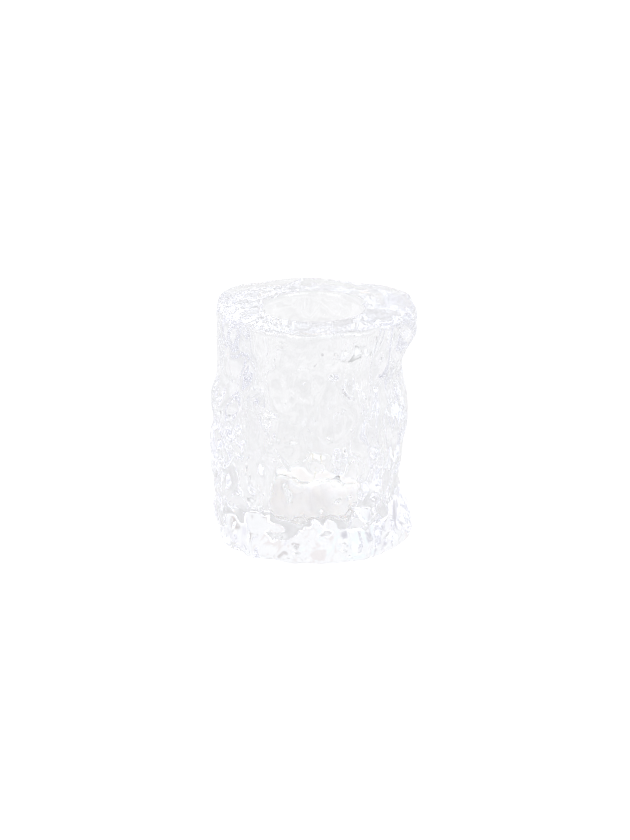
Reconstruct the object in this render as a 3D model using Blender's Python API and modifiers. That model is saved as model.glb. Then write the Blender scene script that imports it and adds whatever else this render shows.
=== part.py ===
"""Tealight holder: a thick block of clear cast glass with a rough, ice-like side and a deep round
well, and the tealight that stands in the well: a clear cup, its wax, the wick and the wick's foot.

Metres, +Z up. The origin is the centre of the flat base, and the well's axis is the Z axis.
"""

import math

import bpy
from mathutils import Vector, noise

COLLECTION = "tealight_holder"

# The glass block. The rough side stands out from SIDE_RADIUS or falls short of it.
HEIGHT = 0.105
SIDE_RADIUS = 0.0420
RIM_EDGE = 0.0028
BASE_EDGE = 0.0015
FLOOR_THICKNESS = 0.016
WELL_FLOOR_RADIUS = 0.0207
WELL_CORNER = 0.0015
MOUTH_RADIUS = 0.0215
LIP = 0.0032
BLOCK_STEPS = 80
SIDE_ROWS = 32
WELL_ROWS = 4

# Swells and hollows of the cast side, each a smooth hump: angle from +X in degrees, height,
# how far it stands out, half its width in degrees, and half its height.
SWELLS = (
    (2, 0.0975, 0.0052, 24, 0.0085),
    (-2, 0.0770, -0.0034, 28, 0.0125),
    (4, 0.0570, 0.0010, 24, 0.0075),
    (0, 0.0450, -0.0026, 28, 0.0090),
    (0, 0.0270, -0.0062, 30, 0.0120),
    (-6, 0.0092, 0.0020, 34, 0.0045),
    (8, 0.0012, -0.0028, 19, 0.0032),
    (172, 0.0012, -0.0028, 19, 0.0030),
    (-52, 0.0880, -0.0010, 26, 0.0120),
    (-64, 0.0520, 0.0012, 26, 0.0160),
    (-92, 0.0760, -0.0012, 30, 0.0120),
    (-110, 0.0240, 0.0011, 24, 0.0100),
    (-146, 0.0660, 0.0010, 22, 0.0140),
    (180, 0.0480, 0.0030, 38, 0.0240),
    (180, 0.0700, 0.0012, 26, 0.0080),
    (180, 0.0290, 0.0024, 26, 0.0080),
    (180, 0.0140, 0.0014, 26, 0.0050),
    (176, 0.0900, 0.0004, 30, 0.0120),
    (144, 0.1010, 0.0062, 20, 0.0085),
    (100, 0.1010, 0.0032, 26, 0.0080),
    (28, 0.1030, 0.0034, 14, 0.0060),
    (48, 0.1010, 0.0030, 20, 0.0070),
    (142, 0.0220, -0.0016, 26, 0.0100),
    (126, 0.0760, 0.0020, 26, 0.0150),
    (92, 0.0420, -0.0020, 30, 0.0130),
    (56, 0.0200, 0.0018, 26, 0.0110),
    (48, 0.0640, -0.0014, 26, 0.0140),
)

# Lumps of the cast side: a smooth unevenness, taller than wide, bent this way and that.
LUMP_SIZE = 0.0120
LUMP_HEIGHT = 0.0030
LUMP_STRETCH = 0.75
WARP_SIZE = 0.020
WARP_REACH = 0.0050
WANDER_SHIFTS = ((17.3, 5.1, 9.7), (3.9, 21.7, 1.3), (11.1, 8.3, 27.9))

# The tealight. It stands on the well's floor, and its parts keep FIT_GAP to each other.
FIT_GAP = 0.0003
CUP_HEIGHT = 0.0165
CUP_BASE_RADIUS = 0.0184
CUP_RIM_RADIUS = 0.0190
CUP_WALL = 0.0006
CUP_CORNER = 0.0014
CUP_FLANGE = 0.0006
FLANGE_THICKNESS = 0.0008
WAX_DEPTH = 0.0132
WAX_EDGE = 0.0008
WICK_RADIUS = 0.0009
WICK_ABOVE_WAX = 0.0070
WICK_LEAN = 0.0011
FOOT_RADIUS = 0.0065
FOOT_THICKNESS = 0.0004
NECK_HEIGHT = 0.0045
NECK_WALL = 0.0005
TEALIGHT_STEPS = 48


def clear_scene():
    for thing in list(bpy.data.objects):
        bpy.data.objects.remove(thing)


def make_collection(name):
    made = bpy.data.collections.new(name)
    bpy.context.scene.collection.children.link(made)
    return made


def make_material(name, colour, roughness, metallic=0.0, transmission=0.0, ior=1.5):
    made = bpy.data.materials.new(name)
    made.use_nodes = True
    shader = made.node_tree.nodes["Principled BSDF"]
    shader.inputs["Base Color"].default_value = (*colour, 1.0)
    shader.inputs["Roughness"].default_value = roughness
    shader.inputs["Metallic"].default_value = metallic
    shader.inputs["Transmission Weight"].default_value = transmission
    shader.inputs["IOR"].default_value = ior
    return made


def arc(centre, radius, start, end, steps):
    """Points (radius, height) along an arc from start to end, in degrees from the outward way."""
    points = []
    for step in range(steps + 1):
        turn = math.radians(start + (end - start) * step / steps)
        points.append((centre[0] + radius * math.cos(turn), centre[1] + radius * math.sin(turn)))
    return points


def straight(start, end, rows):
    """The points between start and end, without them, that cut the line into rows."""
    points = []
    for row in range(1, rows):
        share = row / rows
        points.append(tuple(a + (b - a) * share for a, b in zip(start, end)))
    return points


def turn_profile(name, profile, steps, collection, closed):
    """A solid of revolution about Z. The profile, (radius, height), runs down its outer side."""
    corners = [(radius, 0.0, height) for radius, height in profile]
    edges = [(i, i + 1) for i in range(len(corners) - 1)]
    if closed:
        edges.append((len(corners) - 1, 0))
    mesh = bpy.data.meshes.new(name)
    mesh.from_pydata(corners, edges, [])
    made = bpy.data.objects.new(name, mesh)
    collection.objects.link(made)
    screw = made.modifiers.new("turn", "SCREW")
    screw.axis = "Z"
    screw.angle = math.tau
    screw.steps = steps
    screw.render_steps = steps
    screw.use_merge_vertices = True
    screw.merge_threshold = 0.00001
    screw.use_smooth_shade = True
    return made


def finish(made, material, parent):
    made.data.materials.append(material)
    made.parent = parent
    return made


def hump(angle, height, centre, middle, half_angle, half_height):
    """1 at the hump's centre, fading smoothly round the block and up and down it."""
    turn = (angle - centre + math.pi) % math.tau - math.pi
    return math.exp(-((turn / half_angle) ** 2) - ((height - middle) / half_height) ** 2)


def wander(place):
    """A smooth push to bend a pattern with, up to about 1 each way."""
    return Vector([noise.noise(place + Vector(shift)) for shift in WANDER_SHIFTS])


def side_relief(angle, height):
    """How far the cast side stands out from SIDE_RADIUS at this angle and height."""
    out = 0.0
    for centre, middle, stands_out, half_angle, half_height in SWELLS:
        out += stands_out * hump(
            angle, height, math.radians(centre), middle, math.radians(half_angle), half_height
        )
    place = Vector((SIDE_RADIUS * math.cos(angle), SIDE_RADIUS * math.sin(angle), height))
    warped = place + WARP_REACH * wander(place / WARP_SIZE)
    warped.z *= LUMP_STRETCH
    return out + LUMP_HEIGHT * noise.noise(warped / LUMP_SIZE)


def roughen_side(mesh):
    """Moves the block's side in and out by its relief. The well and the middles stay as turned."""
    inner = MOUTH_RADIUS + LIP
    for vertex in mesh.vertices:
        radius = math.hypot(vertex.co.x, vertex.co.y)
        if radius <= inner:
            continue
        share = min(1.0, (radius - inner) / (SIDE_RADIUS - RIM_EDGE - inner))
        share = share * share * (3 - 2 * share)
        angle = math.atan2(vertex.co.y, vertex.co.x)
        grown = (radius + share * side_relief(angle, vertex.co.z)) / radius
        vertex.co.x *= grown
        vertex.co.y *= grown


def block_profile():
    """The block's section, from the middle of the well's floor round to the middle of its base."""
    floor = FLOOR_THICKNESS
    foot = (WELL_FLOOR_RADIUS, floor + WELL_CORNER)
    top = (MOUTH_RADIUS, HEIGHT - LIP)
    side_top = (SIDE_RADIUS, HEIGHT - RIM_EDGE)
    side_foot = (SIDE_RADIUS, BASE_EDGE)
    return [
        (0.0, floor),
        *straight((0.0, floor), (WELL_FLOOR_RADIUS - WELL_CORNER, floor), 2),
        *arc((foot[0] - WELL_CORNER, foot[1]), WELL_CORNER, -90, 0, 3),
        *straight(foot, top, WELL_ROWS),
        *arc((top[0] + LIP, top[1]), LIP, 180, 90, 4),
        *straight((MOUTH_RADIUS + LIP, HEIGHT), (SIDE_RADIUS - RIM_EDGE, HEIGHT), 3),
        *arc((side_top[0] - RIM_EDGE, side_top[1]), RIM_EDGE, 90, 0, 2),
        *straight(side_top, side_foot, SIDE_ROWS),
        *arc((side_foot[0] - BASE_EDGE, side_foot[1]), BASE_EDGE, 0, -90, 2),
        *straight((SIDE_RADIUS - BASE_EDGE, 0.0), (0.0, 0.0), 3),
        (0.0, 0.0),
    ]


def make_block(collection, parent, material):
    """The glass block: turned smooth, then given its rough side."""
    turned = turn_profile("turned_block", block_profile(), BLOCK_STEPS, collection, closed=False)
    bpy.context.view_layer.update()
    graph = bpy.context.evaluated_depsgraph_get()
    mesh = bpy.data.meshes.new_from_object(turned.evaluated_get(graph), depsgraph=graph)
    bpy.data.objects.remove(turned)
    roughen_side(mesh)
    mesh.shade_smooth()
    mesh.name = "glass_block"
    block = bpy.data.objects.new("glass_block", mesh)
    collection.objects.link(block)
    return finish(block, material, parent)


def make_cup(collection, parent, material):
    """The tealight's thin clear cup, with a small flange round its mouth. Its foot is at Z 0."""
    rim = (CUP_RIM_RADIUS, CUP_HEIGHT)
    below_flange = CUP_HEIGHT - FLANGE_THICKNESS
    inner_floor = (CUP_BASE_RADIUS - CUP_WALL - CUP_CORNER, CUP_WALL)
    outer_foot = (CUP_BASE_RADIUS - CUP_CORNER, CUP_CORNER)
    profile = [
        (0.0, CUP_WALL),
        *arc((inner_floor[0], CUP_WALL + CUP_CORNER), CUP_CORNER, -90, 0, 3),
        (rim[0] - CUP_WALL, rim[1]),
        (rim[0] + CUP_FLANGE, rim[1]),
        (rim[0] + CUP_FLANGE, below_flange),
        (rim[0], below_flange),
        *arc(outer_foot, CUP_CORNER, 0, -90, 3),
        (0.0, 0.0),
    ]
    cup = turn_profile("tealight_cup", profile, TEALIGHT_STEPS, collection, closed=False)
    return finish(cup, material, parent)


def make_wick_foot(collection, parent, material):
    """The thin metal disc on the cup's floor, with the short neck that grips the wick."""
    bottom = CUP_WALL + FIT_GAP
    plate_top = bottom + FOOT_THICKNESS
    neck_top = bottom + NECK_HEIGHT
    bore = WICK_RADIUS + FIT_GAP
    neck = bore + NECK_WALL
    profile = [
        (bore, neck_top),
        (neck, neck_top),
        (neck, plate_top + NECK_WALL),
        (neck + NECK_WALL, plate_top),
        (FOOT_RADIUS, plate_top),
        (FOOT_RADIUS, bottom),
        (bore, bottom),
    ]
    foot = turn_profile("wick_foot", profile, TEALIGHT_STEPS, collection, closed=True)
    return finish(foot, material, parent)


def make_wax(collection, parent, material):
    """The wax, cast round the wick and its foot. It fills the cup to a little below the flange."""
    bottom = CUP_WALL + FIT_GAP
    top = CUP_WALL + WAX_DEPTH
    slope = (CUP_RIM_RADIUS - CUP_BASE_RADIUS) / (CUP_HEIGHT - CUP_CORNER)
    foot_radius = CUP_BASE_RADIUS - CUP_WALL - FIT_GAP
    top_radius = foot_radius + slope * (top - CUP_CORNER)
    bore = WICK_RADIUS + FIT_GAP
    neck = bore + NECK_WALL + FIT_GAP
    plate_top = bottom + FOOT_THICKNESS + NECK_WALL + FIT_GAP
    neck_top = bottom + NECK_HEIGHT + FIT_GAP
    plate = FOOT_RADIUS + FIT_GAP
    profile = [
        (bore, top),
        (0.6 * top_radius, top),
        *arc((top_radius - WAX_EDGE, top - WAX_EDGE), WAX_EDGE, 90, 0, 3),
        *arc((foot_radius - CUP_CORNER, bottom + CUP_CORNER), CUP_CORNER, 0, -90, 3),
        (plate, bottom),
        (plate, plate_top),
        (neck + NECK_WALL, plate_top),
        (neck, plate_top + NECK_WALL),
        (neck, neck_top),
        (bore, neck_top),
    ]
    wax = turn_profile("tealight_wax", profile, TEALIGHT_STEPS, collection, closed=True)
    return finish(wax, material, parent)


def make_wick(collection, parent, material):
    """The wick: a cord that stands in the foot's neck and leans a little above the wax."""
    bottom = CUP_WALL + FIT_GAP
    wax_top = CUP_WALL + WAX_DEPTH
    top = wax_top + WICK_ABOVE_WAX
    points = [(0.0, bottom), (0.0, wax_top)]
    for step in range(1, 7):
        share = step / 6
        points.append((WICK_LEAN * share**2, wax_top + (top - wax_top) * share))
    curve = bpy.data.curves.new("wick", "CURVE")
    curve.dimensions = "3D"
    curve.bevel_depth = WICK_RADIUS
    curve.bevel_resolution = 2
    curve.use_fill_caps = True
    line = curve.splines.new("POLY")
    line.points.add(len(points) - 1)
    for point, (across, height) in zip(line.points, points):
        point.co = (across, 0.0, height, 1.0)
    wick = bpy.data.objects.new("wick", curve)
    collection.objects.link(wick)
    return finish(wick, material, parent)


def make_empty(name, collection, height):
    made = bpy.data.objects.new(name, None)
    made.location.z = height
    collection.objects.link(made)
    return made


def main():
    clear_scene()
    collection = make_collection(COLLECTION)
    clear_glass = make_material("clear_glass", (0.97, 0.985, 1.0), 0.02, transmission=1.0)
    clear_plastic = make_material("clear_plastic", (0.98, 0.98, 0.97), 0.06, transmission=1.0, ior=1.58)
    white_wax = make_material("white_wax", (0.93, 0.92, 0.89), 0.45)
    cotton = make_material("cotton_wick", (0.90, 0.88, 0.82), 0.85)
    tin = make_material("tinned_steel", (0.62, 0.62, 0.60), 0.32, metallic=1.0)

    holder = make_empty("holder", collection, 0.0)
    make_block(collection, holder, clear_glass)
    tealight = make_empty("tealight", collection, FLOOR_THICKNESS + FIT_GAP)
    make_cup(collection, tealight, clear_plastic)
    make_wax(collection, tealight, white_wax)
    make_wick_foot(collection, tealight, tin)
    make_wick(collection, tealight, cotton)


main()
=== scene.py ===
"""The looks of the tealight holder: the cast glass block, and the tealight that stands in its well."""

import math

import bmesh
import bpy
from mathutils import Matrix, Vector, noise


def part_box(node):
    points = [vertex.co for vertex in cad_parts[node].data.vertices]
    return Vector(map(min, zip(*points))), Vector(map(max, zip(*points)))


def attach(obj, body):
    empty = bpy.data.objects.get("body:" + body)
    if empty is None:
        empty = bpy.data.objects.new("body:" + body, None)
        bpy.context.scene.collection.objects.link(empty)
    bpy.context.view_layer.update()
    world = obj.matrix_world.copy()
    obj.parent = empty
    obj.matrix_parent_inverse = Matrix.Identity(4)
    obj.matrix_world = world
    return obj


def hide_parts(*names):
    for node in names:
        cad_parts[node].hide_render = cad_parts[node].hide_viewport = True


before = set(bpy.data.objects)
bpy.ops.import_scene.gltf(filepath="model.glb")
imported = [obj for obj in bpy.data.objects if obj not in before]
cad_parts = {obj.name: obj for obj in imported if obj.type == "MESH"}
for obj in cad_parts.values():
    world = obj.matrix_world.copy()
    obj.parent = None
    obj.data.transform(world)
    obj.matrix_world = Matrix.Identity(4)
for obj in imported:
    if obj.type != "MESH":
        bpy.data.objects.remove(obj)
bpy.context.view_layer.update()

CUP_LOW, CUP_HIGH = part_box("tealight_cup")
WAX_LOW, WAX_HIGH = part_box("tealight_wax")
WICK_LOW, WICK_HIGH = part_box("wick")
FOOT_LOW, FOOT_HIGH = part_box("wick_foot")

# Points as close as this to the axis, or to a plane, are taken to lie on it.
ON_AXIS = 1e-9
ON_PLANE = 1e-6

# The glass block, as the CAD model has it: its side stands out from SIDE_RADIUS or falls short.
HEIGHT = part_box("glass_block")[1][2]
SIDE_RADIUS = 0.0420
RIM_EDGE = 0.0028
BASE_EDGE = 0.0015
FLOOR_THICKNESS = 0.016
WELL_FLOOR_RADIUS = 0.0207
WELL_CORNER = 0.0015
MOUTH_RADIUS = 0.0215
LIP = 0.0032

# How finely the block's skin is cut, and how much closer its points stand at the front.
BLOCK_STEPS = 410
SIDE_ROWS = 165
FLOOR_ROWS = 5
WELL_ROWS = 14
TOP_ROWS = 14
BASE_ROWS = 6
EDGE_STEPS = 5
LIP_STEPS = 6
FRONT_CROWD = 0.40

# Swells and hollows of the cast side, each a smooth hump: angle from +X in degrees, height,
# how far it stands out, half its width in degrees, and half its height.
SWELLS = (
    (2, 0.0975, 0.0052, 24, 0.0085),
    (-2, 0.0770, -0.0034, 28, 0.0125),
    (4, 0.0570, 0.0010, 24, 0.0075),
    (0, 0.0450, -0.0026, 28, 0.0090),
    (0, 0.0270, -0.0062, 30, 0.0120),
    (-6, 0.0092, 0.0020, 34, 0.0045),
    (8, 0.0012, -0.0028, 19, 0.0032),
    (172, 0.0012, -0.0028, 19, 0.0030),
    (-52, 0.0880, -0.0010, 26, 0.0120),
    (-64, 0.0520, 0.0012, 26, 0.0160),
    (-92, 0.0760, -0.0012, 30, 0.0120),
    (-110, 0.0240, 0.0011, 24, 0.0100),
    (-146, 0.0660, 0.0010, 22, 0.0140),
    (180, 0.0480, 0.0030, 38, 0.0240),
    (180, 0.0700, 0.0012, 26, 0.0080),
    (180, 0.0290, 0.0024, 26, 0.0080),
    (180, 0.0140, 0.0014, 26, 0.0050),
    (176, 0.0900, 0.0004, 30, 0.0120),
    (144, 0.1010, 0.0062, 20, 0.0085),
    (100, 0.1010, 0.0032, 26, 0.0080),
    (28, 0.1030, 0.0034, 14, 0.0060),
    (48, 0.1010, 0.0030, 20, 0.0070),
    (142, 0.0220, -0.0016, 26, 0.0100),
    (126, 0.0760, 0.0020, 26, 0.0150),
    (92, 0.0420, -0.0020, 30, 0.0130),
    (56, 0.0200, 0.0018, 26, 0.0110),
    (48, 0.0640, -0.0014, 26, 0.0140),
)
LUMP_SIZE = 0.0120
LUMP_HEIGHT = 0.0030
LUMP_STRETCH = 0.75
WARP_SIZE = 0.020
WARP_REACH = 0.0050
WANDER_SHIFTS = ((17.3, 5.1, 9.7), (3.9, 21.7, 1.3), (11.1, 8.3, 27.9))

# Fine relief, that only the looks have: upright ridges, and drops and pits here and there.
RIDGE_ACROSS = 0.0040
RIDGE_TALL = 0.0140
RIDGE_HEIGHT = 0.00035
RIDGE_WARP = 0.010
RIDGE_REACH = 0.0030
RIDGE_CALM = 0.35
CALM_SIZE = 0.022
CALM_SHIFT = Vector((3.0, 1.0, 2.0))
CALM_MIDDLE = 0.55
CALM_SWING = 1.6
DROP_SPACING = 0.0068
DROP_STRETCH = 0.62
DROP_SIZE = 0.26
DROP_HEIGHT = 0.00055
DROP_PITS = 0.7
DROP_SMALLEST = 0.6
DROP_SIZES = 0.8
DROP_SHARE = 0.6
DROP_FOOT_SHARE = 0.5
OWN_HEIGHT = 7.3
OWN_SIZE = 3.1
OWN_SIZE_SHIFT = Vector((5.0, 0.0, 0.0))
FOOT_ROUGH = 0.020
KNOB_SIZE = 0.0085
KNOB_STRETCH = 0.75
KNOB_HEIGHT = 0.0019
KNOB_TOP = 0.019
KNOB_CALM = 0.45
KNOB_MIDDLE = 0.3
WELL_WAVE = 0.00006
WELL_WAVES = 5
WELL_WAVE_TALL = 0.012
TOP_WAVE = 0.00022
TOP_WAVE_SIZE = 0.0065

# The finest marks of the cast side, raised by its material: upright streaks, calm patches and
# specks. They fade out from GRAIN_OUTER inwards, so that the well stays clear.
GRAIN_HEIGHT = 0.00005
GRAIN_INNER = 0.026
GRAIN_OUTER = 0.036
GRAIN_IN_WELL = 0.10
STREAK_SCALE = 260.0
STREAK_STRETCH = (1.0, 1.0, 0.30)
PATCH_SCALE = 70.0
PATCH_CALM = 0.15
SPECK_SCALE = 170.0
SPECK_HEIGHT = 1.2

# Single drops and pits that show on the front: angle, height, how far it stands out,
# half its width and half its height in millimetres, and its lean in degrees.
DROPS = (
    (-76.4, 0.0844, 0.00120, 1.7, 1.3, 0),
    (-80.0, 0.0840, -0.00100, 4.6, 3.2, -10),
    (-56.8, 0.0685, 0.00099, 1.3, 2.8, 8),
    (-72.0, 0.0690, 0.00054, 0.9, 0.8, 0),
    (-80.3, 0.0565, -0.00063, 1.1, 1.0, 0),
    (-51.6, 0.0490, 0.00117, 1.7, 2.9, 0),
    (-61.0, 0.0370, -0.00090, 1.3, 2.1, 0),
    (-56.0, 0.0945, 0.00090, 0.9, 1.5, 0),
    (-69.8, 0.0965, 0.00099, 1.2, 3.0, -8),
    (-118.3, 0.0580, -0.00108, 0.7, 3.2, 30),
    (-107.9, 0.0455, 0.00108, 0.8, 4.4, 35),
    (-117.8, 0.0660, 0.00126, 5.0, 1.0, 0),
    (-103.0, 0.0568, -0.00063, 2.2, 1.4, 0),
    (-107.0, 0.0985, -0.00108, 3.6, 1.4, -35),
    (-129.0, 0.0300, 0.00162, 4.6, 5.6, 0),
    (-139.0, 0.0560, 0.00108, 1.3, 1.9, 0),
    (-75.0, 0.0290, 0.00090, 2.4, 0.9, 30),
    (-66.0, 0.0262, -0.00090, 2.2, 0.9, -35),
    (-60.0, 0.0300, 0.00081, 1.0, 1.6, 0),
    (-112.0, 0.0140, 0.00144, 3.2, 2.2, 0),
    (-100.0, 0.0070, 0.00144, 2.6, 1.9, 0),
    (-58.0, 0.0180, 0.00162, 3.0, 3.2, 0),
    (-84.0, 0.0120, -0.00108, 3.4, 2.2, 20),
    (-72.0, 0.0080, 0.00126, 2.4, 2.0, 0),
)
DROP_REACH = 0.02
MILLIMETRE = 0.001

# Bubbles in the glass: angle, height, how far under the side, half the width and half the height.
BUBBLES = (
    (-76.4, 0.0832, 0.0045, 0.0021, 0.0014),
    (-80.0, 0.0570, 0.0040, 0.0009, 0.0010),
    (-57.0, 0.0680, 0.0040, 0.0008, 0.0024),
    (-51.0, 0.0485, 0.0045, 0.0016, 0.0028),
    (-61.0, 0.0369, 0.0040, 0.0011, 0.0019),
    (-67.0, 0.0290, 0.0050, 0.0009, 0.0011),
    (-84.0, 0.0420, 0.0050, 0.0006, 0.0009),
    (-157.0, 0.0934, 0.0030, 0.0009, 0.0013),
    (-160.0, 0.0672, 0.0030, 0.0008, 0.0010),
    (-158.0, 0.0598, 0.0030, 0.0011, 0.0024),
    (-35.0, 0.0863, 0.0030, 0.0008, 0.0011),
    (-22.5, 0.0836, 0.0030, 0.0007, 0.0010),
)
BUBBLE_AROUND = 12
BUBBLE_UP = 8
# Tiny seeds between them, spread evenly up the block and round it.
SEEDS = 18
SEED_RADIUS = 0.0004
SEED_STRETCH = 1.4
SEED_DEPTH = 0.006
SEED_LOWEST = 0.12
SEED_SPAN = 0.76

# The tealight, as the CAD model has it.
CUP_BASE_RADIUS = 0.0184
CUP_WALL = 0.0006
CUP_CORNER = 0.0014
CUP_FLANGE = 0.0006
FLANGE_THICKNESS = 0.0008
WICK_RADIUS = 0.0009
WICK_LEAN = 0.0011
FOOT_THICKNESS = 0.0004
NECK_WALL = 0.0005

# Finer shapes, that only the looks have: the cup's foot ring, and the wax's uneven top, which
# climbs a little at the cup's wall and at the wick.
TEALIGHT_STEPS = 96
CORNER_STEPS = 6
FINE_EDGE = 0.0001
CUP_RIM_EDGE = 0.0002
RING_WIDTH = 0.0012
RING_SLOPE = 0.0003
RING_RECESS = 0.0002
WAX_GRIP = 0.00035
WAX_ROOM = 0.0001
WAX_FOOT_ROOM = 0.0002
WAX_NECK_ROOM = 0.0006
WAX_ROWS = 24
WAX_DIP = 0.0006
WICK_CLIMB = 0.0007
WALL_CLIMB = 0.0005
WAX_TOP_BAND = 0.0012
WAX_UNEVEN = 0.0001
WAX_UNEVEN_SIZE = 0.005

# The wick's foot: a ribbed plate, and a neck with a fillet and four crimps.
FOOT_BORE_ROOM = 0.0002
NECK_ROWS = 8
NECK_FILLET = 0.0006
FILLET_STEPS = 4
RIB_START = 0.0012
RIB_CREST = 0.0009
RIB_HEIGHT = 0.00015
CRIMPS = 4
CRIMP_SHARPNESS = 4
CRIMP_DEPTH = 0.00012
CRIMP_FROM = 0.0015

# The plait of the wick, which thins towards its tip.
STRANDS = 3
STRAND_ROWS = 160
STRAND_RADIUS = 0.00036
STRAND_ROUNDNESS = 3
PLAIT_HALF_WIDTH = 0.00050
PLAIT_HALF_DEPTH = 0.00028
PLAIT_PITCH = 0.0048
TIP_ROOM = 0.0002
TAPER_FROM = 0.94
TAPER = 0.55
CAP_WELD = 0.000001

# The materials: how much they bend light, their colours, and the size and height of their grain.
GLASS_IOR = 1.52
GLASS_TINT = (0.79, 0.785, 0.90)
GLASS_TINT_DENSITY = 2.0
PLASTIC_IOR = 1.46
PLASTIC_COLOUR = (0.99, 0.99, 0.985)
PLASTIC_FLOW_SCALE = 260.0
PLASTIC_FLOW_HEIGHT = 0.00004
WAX_IOR = 1.44
WAX_DARK = (0.848, 0.832, 0.838)
WAX_LIGHT = (0.888, 0.876, 0.880)
WAX_SCATTER = (1.0, 0.95, 0.88)
WAX_SCATTER_DEPTH = 0.006
WAX_CLOUD_SCALE = 320.0
WAX_GRAIN_SCALE = 1400.0
WAX_GRAIN_HEIGHT = 0.00005
# A painted shade: the wax's top and the upper edge of its side are darkened and warmed by this tint,
# fading out between the two distances from the top's middle.
TOP_SHADE_TINT = (0.87, 0.855, 0.825)
TOP_SHADE_NEAR = 0.013
TOP_SHADE_FAR = 0.0185
COTTON_DARK = (0.80, 0.76, 0.68)
COTTON_LIGHT = (0.95, 0.93, 0.88)
COTTON_SHEEN = 0.3
COTTON_SCALE = 6000.0
COTTON_HEIGHT = 0.00008
TIN_DARK = (0.56, 0.56, 0.55)
TIN_LIGHT = (0.72, 0.72, 0.71)
TIN_SCALE = 900.0
TIN_HEIGHT = 0.00003

# The camera stands in front, as the photographer did, with a long lens.
CAMERA_DISTANCE = 2.0
CAMERA_ELEVATION = math.radians(18.3)
CAMERA_AIM = Vector((0.0007, 0.0, 0.0525))
PICTURE_HEIGHT = 0.368
SENSOR = 36.0

# The light tent round it all. Its wall is dimmer at the horizon, up to HAZE_TOP.
TENT_WALL = 1.02
HORIZON = 0.62
HAZE_TOP = math.radians(6.0)
TENT_TINT = (0.985, 0.992, 1.0)
ROSE = (1.0, 0.955, 0.945)
LAVENDER = (0.955, 0.940, 1.0)
CYAN = (0.925, 0.985, 1.0)
EVEN = (1.0, 1.0, 1.0)
# Spots in it that are brighter or darker than its wall: which way from +Y towards +X and how
# high, in degrees, how wide, how bright beside the wall, and the tint. Each fades from SPOT_CORE
# of its width outwards.
TENT_SPOTS = (
    (0, 90, 0.75, 0.48, EVEN),
    (-60, 62, 0.20, 2.2, EVEN),
    (-75, 32, 0.42, 1.32, LAVENDER),
    (80, 28, 0.42, 1.32, CYAN),
    (180, 20, 0.26, 0.30, EVEN),
    (25, 38, 0.22, 0.70, ROSE),
    (-35, 30, 0.18, 0.75, LAVENDER),
    (8, 16, 0.12, 0.92, ROSE),
    (-14, 22, 0.12, 1.04, CYAN),
    (38, 14, 0.14, 0.94, LAVENDER),
    (-50, 12, 0.14, 0.95, ROSE),
    (132, 50, 0.42, 1.38, CYAN),
    (-132, 50, 0.42, 1.38, EVEN),
)
SPOT_CORE = 0.75
# A long strip light over the camera's side: how high, half its length and width, how bright.
STRIP_RISE = math.radians(68.0)
STRIP_LENGTH = math.radians(52.0)
STRIP_WIDTH = math.radians(12.0)
STRIP_LIGHT = 5.0
STRIP_CORE = 0.7
STRIP_FADE = 0.1
# The floor glows less close to the block than further off: a painted shadow round the block. FLOOR_LIFT
# makes it clear white where it is looked at directly.
FLOOR_HALF = 20.0
FLOOR_DROP = 0.0002
FLOOR_NEAR = 0.10
FLOOR_FAR = 0.45
FLOOR_ALBEDO = 0.25
FLOOR_GLOW_NEAR = 0.558
FLOOR_GLOW_FAR = 0.608
FLOOR_TINT = (1.0, 0.990, 0.990)
# Soft patches of painted light and shade on the floor: its glow swings up and down by this much.
PAINTED_LIGHT_PATCH_SCALE = 9.0
PAINTED_LIGHT_PATCH = 0.05
FLOOR_LIFT = 0.39


# ---------------------------------------------------------------- shapes


def arc(centre, radius, start, end, steps):
    """Points (radius, height) along an arc from start to end, in degrees from the outward way."""
    points = []
    for step in range(steps + 1):
        turn = math.radians(start + (end - start) * step / steps)
        points.append((centre[0] + radius * math.cos(turn), centre[1] + radius * math.sin(turn)))
    return points


def straight(start, end, rows):
    """The points between start and end, without them, that cut the line into rows."""
    points = []
    for row in range(1, rows):
        share = row / rows
        points.append(tuple(a + (b - a) * share for a, b in zip(start, end)))
    return points


def turned_mesh(name, profile, steps, place, closed=False):
    """A mesh turned about Z. place gives a point's true position from its radius, angle and height."""
    verts, rings = [], []
    for radius, height in profile:
        if radius < ON_AXIS:
            rings.append([len(verts)] * steps)
            verts.append(place(0.0, 0.0, height))
            continue
        rings.append(list(range(len(verts), len(verts) + steps)))
        verts.extend(place(radius, math.tau * step / steps, height) for step in range(steps))
    pairs = list(zip(rings, rings[1:]))
    if closed:
        pairs.append((rings[-1], rings[0]))
    faces = []
    for upper, lower in pairs:
        for step in range(steps):
            after = (step + 1) % steps
            corners = (upper[step], lower[step], lower[after], upper[after])
            face = tuple(dict.fromkeys(corners))
            if len(face) > 2:
                faces.append(face)
    mesh = bpy.data.meshes.new(name)
    mesh.from_pydata(verts, [], faces)
    mesh.validate()
    mesh.shade_smooth()
    return mesh


def add_piece(name, mesh, body, material, replaced):
    piece = bpy.data.objects.new(name, mesh)
    bpy.context.scene.collection.objects.link(piece)
    piece.data.materials.append(material)
    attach(piece, body)
    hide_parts(replaced)
    return piece


def hump(angle, height, centre, middle, half_angle, half_height):
    """1 at the hump's centre, fading smoothly round the block and up and down it."""
    turn = (angle - centre + math.pi) % math.tau - math.pi
    return math.exp(-((turn / half_angle) ** 2) - ((height - middle) / half_height) ** 2)


def wander(place):
    """A smooth push to bend a pattern with, up to about 1 each way."""
    return Vector([noise.noise(place + Vector(shift)) for shift in WANDER_SHIFTS])


def coarse_relief(angle, height):
    """How far the cast side stands out from SIDE_RADIUS here, as the CAD model has it."""
    out = 0.0
    for centre, middle, stands_out, half_angle, half_height in SWELLS:
        out += stands_out * hump(
            angle, height, math.radians(centre), middle, math.radians(half_angle), half_height
        )
    place = Vector((SIDE_RADIUS * math.cos(angle), SIDE_RADIUS * math.sin(angle), height))
    warped = place + WARP_REACH * wander(place / WARP_SIZE)
    warped.z *= LUMP_STRETCH
    return out + LUMP_HEIGHT * noise.noise(warped / LUMP_SIZE)


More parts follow.
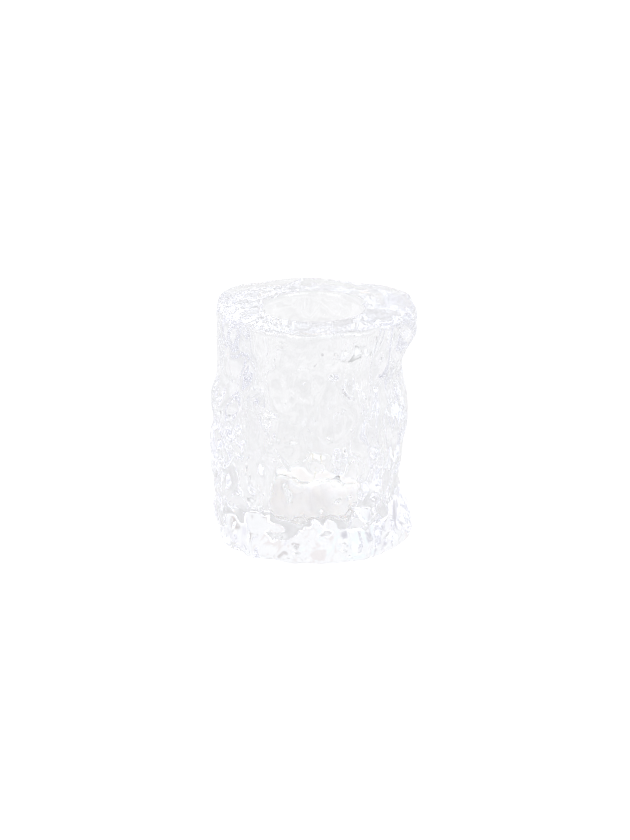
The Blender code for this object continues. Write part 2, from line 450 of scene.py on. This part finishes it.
def single_drops(angle, height):
    """The drops and pits of DROPS, each a small smooth hump that may lean."""
    out = 0.0
    for centre, middle, stands_out, half_width, half_height, lean in DROPS:
        across = ((angle - math.radians(centre) + math.pi) % math.tau - math.pi) * SIDE_RADIUS
        up = height - middle
        if max(abs(across), abs(up)) > DROP_REACH:
            continue
        lean = math.radians(lean)
        sideways = (across * math.cos(lean) + up * math.sin(lean)) / (MILLIMETRE * half_width)
        upwards = (up * math.cos(lean) - across * math.sin(lean)) / (MILLIMETRE * half_height)
        out += stands_out * math.exp(-(sideways**2 + upwards**2))
    return out


def scattered_drops(place):
    """Drops and pits all round: one in each cell of a warped grid, each of its own height."""
    stretched = Vector((place.x, place.y, place.z * DROP_STRETCH)) / DROP_SPACING
    distances, centres = noise.voronoi(stretched)
    own_height = 2 * noise.cell(centres[0] * OWN_HEIGHT) - DROP_PITS
    own_size = DROP_SMALLEST + DROP_SIZES * noise.cell(centres[0] * OWN_SIZE + OWN_SIZE_SHIFT)
    return DROP_HEIGHT * own_height * math.exp(-((distances[0] / (DROP_SIZE * own_size)) ** 2))


def knob(place):
    """A dome over each cell of a warped grid, with creases where the domes meet."""
    stretched = Vector((place.x, place.y, place.z * KNOB_STRETCH)) / KNOB_SIZE
    return KNOB_MIDDLE - noise.voronoi(stretched)[0][0] ** 2


def fine_relief(angle, height):
    """Upright ridges, knobs, scattered drops and the single drops, on top of the coarse relief."""
    place = Vector((SIDE_RADIUS * math.cos(angle), SIDE_RADIUS * math.sin(angle), height))
    warped = place + RIDGE_REACH * wander(place / RIDGE_WARP)
    ridge = noise.noise(
        Vector((warped.x / RIDGE_ACROSS, warped.y / RIDGE_ACROSS, warped.z / RIDGE_TALL))
    )
    calm = CALM_MIDDLE + CALM_SWING * noise.noise(place / CALM_SIZE + CALM_SHIFT)
    calm = min(1.0, max(0.0, calm))
    ridges = RIDGE_HEIGHT * ridge * (RIDGE_CALM + (1 - RIDGE_CALM) * calm)
    near_foot = math.exp(-((height / KNOB_TOP) ** 4))
    knobs = KNOB_HEIGHT * (KNOB_CALM + (1 - KNOB_CALM) * near_foot) * knob(warped)
    foot = math.exp(-((height / FOOT_ROUGH) ** 2))
    drops = (DROP_SHARE + DROP_FOOT_SHARE * foot) * scattered_drops(warped)
    return ridges + knobs + drops + single_drops(angle, height)


def block_place(radius, angle, height):
    """A point of the block: the side takes the relief, the well and the top their faint waves.

    The points stand closer together at the front, where the finest drops are.
    """
    angle -= FRONT_CROWD * math.cos(angle)
    inner = MOUTH_RADIUS + LIP
    if radius > inner:
        share = min(1.0, (radius - inner) / (SIDE_RADIUS - RIM_EDGE - inner))
        share = share * share * (3 - 2 * share)
        radius += share * (coarse_relief(angle, height) + fine_relief(angle, height))
    elif radius > 0 and FLOOR_THICKNESS < height < HEIGHT:
        wave = (WELL_WAVES * math.cos(angle), WELL_WAVES * math.sin(angle), height / WELL_WAVE_TALL)
        radius += WELL_WAVE * noise.noise(Vector(wave))
    x, y = radius * math.cos(angle), radius * math.sin(angle)
    if height > HEIGHT - ON_PLANE:
        height -= TOP_WAVE * (0.5 + 0.5 * noise.noise(Vector((x, y, 0.0)) / TOP_WAVE_SIZE))
    return x, y, height


def add_bubbles(mesh):
    """Leaves BUBBLES and some tiny seeds as hollows in the glass: closed skins that face inwards."""
    golden = math.pi * (3.0 - math.sqrt(5.0))
    bubbles = [(math.radians(turn), *rest) for turn, *rest in BUBBLES]
    for number in range(SEEDS):
        height = HEIGHT * (SEED_LOWEST + SEED_SPAN * (number + 0.5) / SEEDS)
        size = SEED_RADIUS * (1 + (number % 3) / 2)
        bubbles.append((golden * number, height, SEED_DEPTH, size, SEED_STRETCH * size))
    skins = bmesh.new()
    for angle, height, depth, half_width, half_height in bubbles:
        reach = SIDE_RADIUS + coarse_relief(angle, height) - depth
        place = Matrix.Translation((reach * math.cos(angle), reach * math.sin(angle), height))
        shape = Matrix.Diagonal((half_width, half_width, half_height, 1.0))
        bmesh.ops.create_uvsphere(
            skins,
            u_segments=BUBBLE_AROUND,
            v_segments=BUBBLE_UP,
            radius=1.0,
            matrix=place @ shape,
        )
    bmesh.ops.reverse_faces(skins, faces=skins.faces)
    skins.from_mesh(mesh)
    skins.to_mesh(mesh)
    skins.free()
    mesh.shade_smooth()


def block_profile():
    """The block's section, from the middle of the well's floor round to the middle of its base."""
    floor = FLOOR_THICKNESS
    foot = (WELL_FLOOR_RADIUS, floor + WELL_CORNER)
    top = (MOUTH_RADIUS, HEIGHT - LIP)
    side_top = (SIDE_RADIUS, HEIGHT - RIM_EDGE)
    side_foot = (SIDE_RADIUS, BASE_EDGE)
    return [
        (0.0, floor),
        *straight((0.0, floor), (WELL_FLOOR_RADIUS - WELL_CORNER, floor), FLOOR_ROWS),
        *arc((foot[0] - WELL_CORNER, foot[1]), WELL_CORNER, -90, 0, EDGE_STEPS),
        *straight(foot, top, WELL_ROWS),
        *arc((top[0] + LIP, top[1]), LIP, 180, 90, LIP_STEPS),
        *straight((MOUTH_RADIUS + LIP, HEIGHT), (SIDE_RADIUS - RIM_EDGE, HEIGHT), TOP_ROWS),
        *arc((side_top[0] - RIM_EDGE, side_top[1]), RIM_EDGE, 90, 0, EDGE_STEPS),
        *straight(side_top, side_foot, SIDE_ROWS),
        *arc((side_foot[0] - BASE_EDGE, side_foot[1]), BASE_EDGE, 0, -90, EDGE_STEPS),
        *straight((SIDE_RADIUS - BASE_EDGE, 0.0), (0.0, 0.0), BASE_ROWS),
        (0.0, 0.0),
    ]


def make_block():
    mesh = turned_mesh("cast_glass_block", block_profile(), BLOCK_STEPS, block_place)
    add_bubbles(mesh)
    add_piece("cast_glass_block", mesh, "holder", cast_glass(), "glass_block")


# ---------------------------------------------------------------- the tealight


def upright(radius, angle, height):
    """A point of a piece that is perfectly round."""
    return radius * math.cos(angle), radius * math.sin(angle), height


def cup_profile():
    """The cup's section: a thin wall with a rounded flange, on a foot ring with a recess inside it."""
    low, high = CUP_LOW[2], CUP_HIGH[2]
    flange = CUP_HIGH[0]
    rim = flange - CUP_FLANGE
    bead = FLANGE_THICKNESS / 2
    inner_top = rim - CUP_WALL
    corner = (CUP_BASE_RADIUS - CUP_WALL - CUP_CORNER, low + CUP_WALL + CUP_CORNER)
    foot = (CUP_BASE_RADIUS - CUP_CORNER, low + CUP_CORNER)
    ring = CUP_BASE_RADIUS - CUP_CORNER - RING_WIDTH
    return [
        (0.0, low + CUP_WALL),
        *arc(corner, CUP_CORNER, -90, 0, CORNER_STEPS),
        (inner_top, high - CUP_RIM_EDGE),
        (inner_top + CUP_RIM_EDGE, high),
        (flange - bead, high),
        *arc((flange - bead, high - bead), bead, 60, -60, CORNER_STEPS),
        (flange - bead, high - 2 * bead),
        (rim + FINE_EDGE, high - 2 * bead),
        (rim, high - 2 * bead - FINE_EDGE),
        *arc(foot, CUP_CORNER, 0, -90, CORNER_STEPS),
        (ring, low),
        (ring - RING_SLOPE, low + RING_RECESS),
        (0.0, low + RING_RECESS),
    ]


def make_cup():
    mesh = turned_mesh("moulded_cup", cup_profile(), TEALIGHT_STEPS, upright)
    add_piece("moulded_cup", mesh, "tealight", clear_plastic(), "tealight_cup")


def wax_profile():
    """The wax's section. Its top climbs a little at the cup's wall and at the wick."""
    low, high = WAX_LOW[2], WAX_HIGH[2]
    wall = WAX_HIGH[0] + WAX_GRIP
    bore = WICK_RADIUS + WAX_ROOM
    foot_radius = CUP_BASE_RADIUS - CUP_WALL - WAX_ROOM
    plate = FOOT_HIGH[0] + WAX_FOOT_ROOM
    plate_top = FOOT_LOW[2] + FOOT_THICKNESS + WAX_FOOT_ROOM
    neck = WICK_RADIUS + NECK_WALL + WAX_NECK_ROOM
    neck_top = FOOT_HIGH[2] + WAX_FOOT_ROOM
    top = []
    for step in range(WAX_ROWS + 1):
        radius = bore + (wall - bore) * step / WAX_ROWS
        climb = WICK_CLIMB * math.exp(-(radius - bore) / WICK_CLIMB)
        climb += WALL_CLIMB * math.exp(-(wall - radius) / WALL_CLIMB)
        top.append((radius, high - WAX_DIP + climb))
    return [
        *top,
        (wall, high - WAX_DIP),
        *arc((foot_radius - CUP_CORNER, low + CUP_CORNER), CUP_CORNER, 0, -90, CORNER_STEPS),
        (plate, low),
        (plate, plate_top),
        (neck, plate_top),
        (neck, neck_top),
        (bore, neck_top),
    ]


def wax_place(radius, angle, height):
    """A point of the wax: its top is a little uneven, as it set."""
    x, y, z = upright(radius, angle, height)
    if height > WAX_HIGH[2] - WAX_TOP_BAND:
        z += WAX_UNEVEN * noise.noise(Vector((x, y, 0.0)) / WAX_UNEVEN_SIZE)
    return x, y, z


def make_wax():
    mesh = turned_mesh("poured_wax", wax_profile(), TEALIGHT_STEPS, wax_place, closed=True)
    add_piece("poured_wax", mesh, "tealight", wax(), "tealight_wax")


def foot_place(radius, angle, height):
    """A point of the wick's foot: its crimps press the neck onto the wick."""
    if height > FOOT_LOW[2] + CRIMP_FROM:
        radius -= CRIMP_DEPTH * max(0.0, math.cos(CRIMPS * angle)) ** CRIMP_SHARPNESS
    return upright(radius, angle, height)


def foot_profile():
    """The foot's section: the neck's top, down its outside, over the ribbed plate to its bore."""
    low, high = FOOT_LOW[2], FOOT_HIGH[2]
    plate_top = low + FOOT_THICKNESS
    bore = WICK_RADIUS + FOOT_BORE_ROOM
    neck = bore + NECK_WALL
    edge = FOOT_HIGH[0]
    neck_top = (neck, high - FINE_EDGE)
    fillet = (neck + NECK_FILLET, plate_top + NECK_FILLET)
    return [
        (bore, high - FINE_EDGE),
        (bore + FINE_EDGE, high),
        (neck - FINE_EDGE, high),
        neck_top,
        *straight(neck_top, (neck, plate_top + NECK_FILLET), NECK_ROWS),
        *reversed(arc(fillet, NECK_FILLET, 270, 180, FILLET_STEPS)),
        (edge - RIB_START, plate_top),
        (edge - RIB_CREST, plate_top + RIB_HEIGHT),
        (edge - FINE_EDGE, plate_top + RIB_HEIGHT),
        (edge, plate_top),
        (edge, low + FINE_EDGE),
        (edge - FINE_EDGE, low),
        (bore, low),
    ]


def make_foot():
    mesh = turned_mesh("crimped_foot", foot_profile(), TEALIGHT_STEPS, foot_place, closed=True)
    add_piece("crimped_foot", mesh, "tealight", tin(), "wick_foot")


def weld_caps(mesh):
    """Joins a curve's loose end caps to its sides, so that each strand is one closed skin."""
    strands = bmesh.new()
    strands.from_mesh(mesh)
    bmesh.ops.remove_doubles(strands, verts=strands.verts, dist=CAP_WELD)
    strands.to_mesh(mesh)
    strands.free()


def make_wick():
    """A plait of strands that stands up out of the wax and leans a little."""
    low, high = WICK_LOW[2], WICK_HIGH[2] - TIP_ROOM
    wax_top = WAX_HIGH[2]
    curve = bpy.data.curves.new("braided_wick", "CURVE")
    curve.dimensions = "3D"
    curve.bevel_depth = STRAND_RADIUS
    curve.bevel_resolution = STRAND_ROUNDNESS
    curve.use_fill_caps = True
    for strand in range(STRANDS):
        line = curve.splines.new("POLY")
        line.points.add(STRAND_ROWS)
        for step, point in enumerate(line.points):
            share = step / STRAND_ROWS
            height = low + (high - low) * share
            turn = math.tau * ((height - low) / PLAIT_PITCH + strand / STRANDS)
            above = max(0.0, (height - wax_top) / (high - wax_top))
            x = WICK_LEAN * above**2 + PLAIT_HALF_WIDTH * math.sin(turn)
            y = PLAIT_HALF_DEPTH * math.sin(2 * turn)
            point.co = (x, y, height, 1.0)
            point.radius = 1.0 - TAPER * max(0.0, (share - TAPER_FROM) / (1 - TAPER_FROM)) ** 2
    cord = bpy.data.objects.new("braided_wick", curve)
    bpy.context.scene.collection.objects.link(cord)
    bpy.context.view_layer.update()
    graph = bpy.context.evaluated_depsgraph_get()
    mesh = bpy.data.meshes.new_from_object(cord.evaluated_get(graph), depsgraph=graph)
    bpy.data.objects.remove(cord)
    weld_caps(mesh)
    mesh.materials.clear()
    mesh.shade_smooth()
    add_piece("braided_wick", mesh, "tealight", cotton(), "wick")


# ---------------------------------------------------------------- materials


def new_material(name):
    made = bpy.data.materials.new(name)
    made.use_nodes = True
    return made, made.node_tree.nodes, made.node_tree.links


def noise_texture(nodes, links, scale, detail=2.0, stretch=(1.0, 1.0, 1.0)):
    """A noise texture in the object's own metres, drawn out by stretch."""
    place = nodes.new("ShaderNodeTexCoord")
    mapping = nodes.new("ShaderNodeMapping")
    mapping.inputs["Scale"].default_value = stretch
    links.new(place.outputs["Object"], mapping.inputs["Vector"])
    grain = nodes.new("ShaderNodeTexNoise")
    grain.inputs["Scale"].default_value = scale
    grain.inputs["Detail"].default_value = detail
    links.new(mapping.outputs["Vector"], grain.inputs["Vector"])
    return grain.outputs["Fac"]


def remap(nodes, links, value, low, high):
    """The noise value, from 0.3 to 0.7, spread out from low to high."""
    spread = nodes.new("ShaderNodeMapRange")
    spread.inputs["From Min"].default_value = 0.3
    spread.inputs["From Max"].default_value = 0.7
    spread.inputs["To Min"].default_value = low
    spread.inputs["To Max"].default_value = high
    links.new(value, spread.inputs["Value"])
    return spread.outputs["Result"]


def ramp(nodes, links, value, start, end, low, high):
    """low up to start, high from end on, and a smooth change between them."""
    made = nodes.new("ShaderNodeMapRange")
    made.interpolation_type = "SMOOTHSTEP"
    made.inputs["From Min"].default_value = start
    made.inputs["From Max"].default_value = end
    made.inputs["To Min"].default_value = low
    made.inputs["To Max"].default_value = high
    links.new(value, made.inputs["Value"])
    return made.outputs["Result"]


def blend(nodes, links, factor, first, second):
    """The first colour where the factor is 0, the second where it is 1. The first may be an output."""
    made = nodes.new("ShaderNodeMix")
    made.data_type = "RGBA"
    links.new(factor, made.inputs["Factor"])
    if isinstance(first, tuple):
        made.inputs["A"].default_value = (*first, 1.0)
    else:
        links.new(first, made.inputs["A"])
    made.inputs["B"].default_value = (*second, 1.0)
    return made.outputs["Result"]


def tinted(nodes, links, factor, light, tint):
    """The light multiplied by the tint, as far as the factor says."""
    both = nodes.new("ShaderNodeMix")
    both.data_type = "RGBA"
    both.blend_type = "MULTIPLY"
    both.clamp_result = False
    if isinstance(factor, float):
        both.inputs["Factor"].default_value = factor
    else:
        links.new(factor, both.inputs["Factor"])
    links.new(light, both.inputs["A"])
    both.inputs["B"].default_value = (*tint, 1.0)
    return both.outputs["Result"]


def bump(nodes, links, value, shader, distance):
    """Raises the shader's surface by up to distance where the value is high."""
    raised = nodes.new("ShaderNodeBump")
    raised.inputs["Distance"].default_value = distance
    raised.inputs["Strength"].default_value = 1.0
    links.new(value, raised.inputs["Height"])
    links.new(raised.outputs["Normal"], shader.inputs["Normal"])


def arithmetic(nodes, links, operation, first, second):
    """The two values added, multiplied or the like. Each is a node's output or a number."""
    made = nodes.new("ShaderNodeMath")
    made.operation = operation
    for socket, value in zip(made.inputs, (first, second)):
        if isinstance(value, float):
            socket.default_value = value
        else:
            links.new(value, socket)
    return made.outputs["Value"]


def glass_grain(nodes, links):
    """Height of the cast side's finest marks: small specks, and upright streaks where it isn't calm."""
    streaks = noise_texture(nodes, links, STREAK_SCALE, stretch=STREAK_STRETCH)
    patches = noise_texture(nodes, links, PATCH_SCALE, detail=1.0)
    patches = ramp(nodes, links, patches, 0.42, 0.60, PATCH_CALM, 1.0)
    specks = nodes.new("ShaderNodeTexVoronoi")
    specks.inputs["Scale"].default_value = SPECK_SCALE
    place = nodes.new("ShaderNodeTexCoord")
    links.new(place.outputs["Object"], specks.inputs["Vector"])
    dots = ramp(nodes, links, specks.outputs["Distance"], 0.04, 0.24, 1.0, 0.0)
    rough = arithmetic(nodes, links, "MULTIPLY", streaks, patches)
    both = arithmetic(nodes, links, "MULTIPLY_ADD", dots, SPECK_HEIGHT)
    links.new(rough, both.node.inputs[2])
    parts = nodes.new("ShaderNodeSeparateXYZ")
    links.new(place.outputs["Object"], parts.inputs["Vector"])
    flat = nodes.new("ShaderNodeCombineXYZ")
    links.new(parts.outputs["X"], flat.inputs["X"])
    links.new(parts.outputs["Y"], flat.inputs["Y"])
    reach = nodes.new("ShaderNodeVectorMath")
    reach.operation = "LENGTH"
    links.new(flat.outputs["Vector"], reach.inputs[0])
    reach = reach.outputs["Value"]
    outside = ramp(nodes, links, reach, GRAIN_INNER, GRAIN_OUTER, GRAIN_IN_WELL, 1.0)
    return arithmetic(nodes, links, "MULTIPLY", both, outside)


def cast_glass():
    made, nodes, links = new_material("cast_glass")
    shader = nodes["Principled BSDF"]
    shader.inputs["Base Color"].default_value = (1.0, 1.0, 1.0, 1.0)
    shader.inputs["Transmission Weight"].default_value = 1.0
    shader.inputs["IOR"].default_value = GLASS_IOR
    shader.inputs["Roughness"].default_value = 0.0
    bump(nodes, links, glass_grain(nodes, links), shader, GRAIN_HEIGHT)
    absorb = nodes.new("ShaderNodeVolumeAbsorption")
    absorb.inputs["Color"].default_value = (*GLASS_TINT, 1.0)
    absorb.inputs["Density"].default_value = GLASS_TINT_DENSITY
    links.new(absorb.outputs["Volume"], nodes["Material Output"].inputs["Volume"])
    return made


def clear_plastic():
    made, nodes, links = new_material("clear_plastic")
    shader = nodes["Principled BSDF"]
    shader.inputs["Base Color"].default_value = (*PLASTIC_COLOUR, 1.0)
    shader.inputs["Transmission Weight"].default_value = 1.0
    shader.inputs["IOR"].default_value = PLASTIC_IOR
    flow = noise_texture(nodes, links, PLASTIC_FLOW_SCALE, detail=3.0, stretch=(1.0, 1.0, 0.35))
    links.new(remap(nodes, links, flow, 0.01, 0.06), shader.inputs["Roughness"])
    bump(nodes, links, flow, shader, PLASTIC_FLOW_HEIGHT)
    return made


def wax():
    made, nodes, links = new_material("white_wax")
    shader = nodes["Principled BSDF"]
    shader.inputs["Subsurface Weight"].default_value = 1.0
    shader.inputs["Subsurface Radius"].default_value = WAX_SCATTER
    shader.inputs["Subsurface Scale"].default_value = WAX_SCATTER_DEPTH
    shader.inputs["IOR"].default_value = WAX_IOR
    cloud = noise_texture(nodes, links, WAX_CLOUD_SCALE, detail=4.0)
    clouded = blend(nodes, links, remap(nodes, links, cloud, 0.0, 1.0), WAX_DARK, WAX_LIGHT)
    place = nodes.new("ShaderNodeTexCoord")
    away = nodes.new("ShaderNodeVectorMath")
    away.operation = "DISTANCE"
    links.new(place.outputs["Object"], away.inputs[0])
    away.inputs[1].default_value = (0.0, 0.0, WAX_HIGH[2])
    # Painted shade: within reach of the top's middle, the wax's colour is darkened and warmed.
    painted_top_shade = ramp(nodes, links, away.outputs["Value"], TOP_SHADE_NEAR, TOP_SHADE_FAR, 1.0, 0.0)
    shaded_wax_colour = tinted(nodes, links, painted_top_shade, clouded, TOP_SHADE_TINT)
    links.new(shaded_wax_colour, shader.inputs["Base Color"])
    links.new(remap(nodes, links, cloud, 0.32, 0.55), shader.inputs["Roughness"])
    grain = noise_texture(nodes, links, WAX_GRAIN_SCALE, detail=3.0)
    bump(nodes, links, grain, shader, WAX_GRAIN_HEIGHT)
    return made


def cotton():
    made, nodes, links = new_material("waxed_cotton")
    shader = nodes["Principled BSDF"]
    shader.inputs["Sheen Weight"].default_value = COTTON_SHEEN
    fibre = noise_texture(nodes, links, COTTON_SCALE, detail=3.0, stretch=(1.0, 1.0, 0.15))
    colour = blend(nodes, links, remap(nodes, links, fibre, 0.0, 1.0), COTTON_DARK, COTTON_LIGHT)
    links.new(colour, shader.inputs["Base Color"])
    links.new(remap(nodes, links, fibre, 0.6, 0.9), shader.inputs["Roughness"])
    bump(nodes, links, fibre, shader, COTTON_HEIGHT)
    return made


def tin():
    made, nodes, links = new_material("tinned_plate")
    shader = nodes["Principled BSDF"]
    shader.inputs["Metallic"].default_value = 1.0
    grain = noise_texture(nodes, links, TIN_SCALE, detail=4.0, stretch=(1.0, 0.2, 1.0))
    colour = blend(nodes, links, remap(nodes, links, grain, 0.0, 1.0), TIN_DARK, TIN_LIGHT)
    links.new(colour, shader.inputs["Base Color"])
    links.new(remap(nodes, links, grain, 0.22, 0.42), shader.inputs["Roughness"])
    bump(nodes, links, grain, shader, TIN_HEIGHT)
    return made


# ---------------------------------------------------------------- the scene


def seen_directly(nodes, links, otherwise, directly):
    """One value where the camera looks at the backdrop itself, and another in the light it gives."""
    path = nodes.new("ShaderNodeLightPath")
    value = nodes.new("ShaderNodeMapRange")
    value.inputs["To Min"].default_value = otherwise
    value.inputs["To Max"].default_value = directly
    links.new(path.outputs["Is Camera Ray"], value.inputs["Value"])
    return value.outputs["Result"]


def make_floor():
    mesh = bpy.data.meshes.new("floor")
    signs = ((-1, -1), (1, -1), (1, 1), (-1, 1))
    mesh.from_pydata([(FLOOR_HALF * x, FLOOR_HALF * y, 0) for x, y in signs], [], [(0, 1, 2, 3)])
    floor = bpy.data.objects.new("floor", mesh)
    floor.location.z = -FLOOR_DROP
    bpy.context.scene.collection.objects.link(floor)
    made, nodes, links = new_material("pale_floor")
    shader = nodes["Principled BSDF"]
    shader.inputs["Base Color"].default_value = (FLOOR_ALBEDO, FLOOR_ALBEDO, FLOOR_ALBEDO, 1.0)
    shader.inputs["Roughness"].default_value = 1.0
    shader.inputs["Specular IOR Level"].default_value = 0.0
    shader.inputs["Emission Color"].default_value = (*FLOOR_TINT, 1.0)
    place = nodes.new("ShaderNodeTexCoord")
    away = nodes.new("ShaderNodeVectorMath")
    away.operation = "LENGTH"
    links.new(place.outputs["Object"], away.inputs[0])
    distance = away.outputs["Value"]
    # Painted shadow: the floor glows less near the block than further off.
    painted_shadow_glow = ramp(nodes, links, distance, FLOOR_NEAR, FLOOR_FAR, FLOOR_GLOW_NEAR, FLOOR_GLOW_FAR)
    # Painted light and shade: soft patches raise and lower the floor's glow.
    patches = noise_texture(nodes, links, PAINTED_LIGHT_PATCH_SCALE, detail=1.0)
    patches = ramp(nodes, links, patches, 0.35, 0.65, -PAINTED_LIGHT_PATCH, PAINTED_LIGHT_PATCH)
    lift = seen_directly(nodes, links, 0.0, FLOOR_LIFT)
    glow = arithmetic(nodes, links, "ADD", arithmetic(nodes, links, "ADD", painted_shadow_glow, patches), lift)
    links.new(glow, shader.inputs["Emission Strength"])
    mesh.materials.append(made)


def cosine_to(nodes, links, way, direction):
    """The cosine of the angle between the looked-at way and a direction."""
    made = nodes.new("ShaderNodeVectorMath")
    made.operation = "DOT_PRODUCT"
    links.new(way.outputs["Generated"], made.inputs[0])
    made.inputs[1].default_value = direction
    return made.outputs["Value"]


def make_world():
    """A light tent: pale all round, dimmer at the horizon, with its lights and the camera's slot.

    Where the wall itself is looked at, past the block, it is plain white.
    """
    scene = bpy.context.scene
    world = bpy.data.worlds.new("light_tent")
    scene.world = world
    world.use_nodes = True
    nodes, links = world.node_tree.nodes, world.node_tree.links
    way = nodes.new("ShaderNodeTexCoord")
    parts = nodes.new("ShaderNodeSeparateXYZ")
    links.new(way.outputs["Generated"], parts.inputs["Vector"])
    wall = ramp(nodes, links, parts.outputs["Z"], 0.0, math.sin(HAZE_TOP), HORIZON, TENT_WALL)
    light = tinted(nodes, links, 1.0, wall, TENT_TINT)
    for side, rise, size, strength, tint in TENT_SPOTS:
        side, rise = math.radians(side), math.radians(rise)
        away = nodes.new("ShaderNodeVectorMath")
        away.operation = "DISTANCE"
        links.new(way.outputs["Generated"], away.inputs[0])
        away.inputs[1].default_value = (
            math.cos(rise) * math.sin(side),
            math.cos(rise) * math.cos(side),
            math.sin(rise),
        )
        inside = ramp(nodes, links, away.outputs["Value"], SPOT_CORE * size, size, 1.0, 0.0)
        light = tinted(nodes, links, inside, light, [strength * part for part in tint])
    middle = (0.0, -math.cos(STRIP_RISE), math.sin(STRIP_RISE))
    across = (0.0, math.sin(STRIP_RISE), math.cos(STRIP_RISE))
    off = arithmetic(nodes, links, "ABSOLUTE", cosine_to(nodes, links, way, across), 0.0)
    width = math.sin(STRIP_WIDTH)
    thin = ramp(nodes, links, off, STRIP_CORE * width, width, 1.0, 0.0)
    ends = math.cos(STRIP_LENGTH)
    ahead = cosine_to(nodes, links, way, middle)
    long = ramp(nodes, links, ahead, ends, ends + STRIP_FADE, 0.0, 1.0)
    strip = arithmetic(nodes, links, "MULTIPLY", thin, long)
    light = tinted(nodes, links, strip, light, [STRIP_LIGHT] * 3)
    shown = blend(nodes, links, seen_directly(nodes, links, 0.0, 1.0), light, EVEN)
    links.new(shown, nodes["Background"].inputs["Color"])


def make_camera():
    scene = bpy.context.scene
    data = bpy.data.cameras.new("camera")
    data.sensor_fit = "VERTICAL"
    data.sensor_height = SENSOR
    data.lens = SENSOR * CAMERA_DISTANCE / PICTURE_HEIGHT
    data.clip_end = 100
    camera = bpy.data.objects.new("camera", data)
    scene.collection.objects.link(camera)
    back = Vector((0, -math.cos(CAMERA_ELEVATION), math.sin(CAMERA_ELEVATION)))
    camera.location = CAMERA_AIM + back * CAMERA_DISTANCE
    camera.rotation_euler = (-back).to_track_quat("-Z", "Y").to_euler()
    scene.camera = camera


def set_render():
    scene = bpy.context.scene
    scene.view_settings.view_transform = "Standard"
    scene.cycles.use_denoising = True
    scene.cycles.max_bounces = 32
    scene.cycles.transmission_bounces = 32
    scene.cycles.glossy_bounces = 16
    scene.cycles.volume_bounces = 0
    scene.cycles.blur_glossy = 0.0


def main():
    make_block()
    make_cup()
    make_wax()
    make_foot()
    make_wick()
    make_floor()
    make_world()
    make_camera()
    set_render()


main()
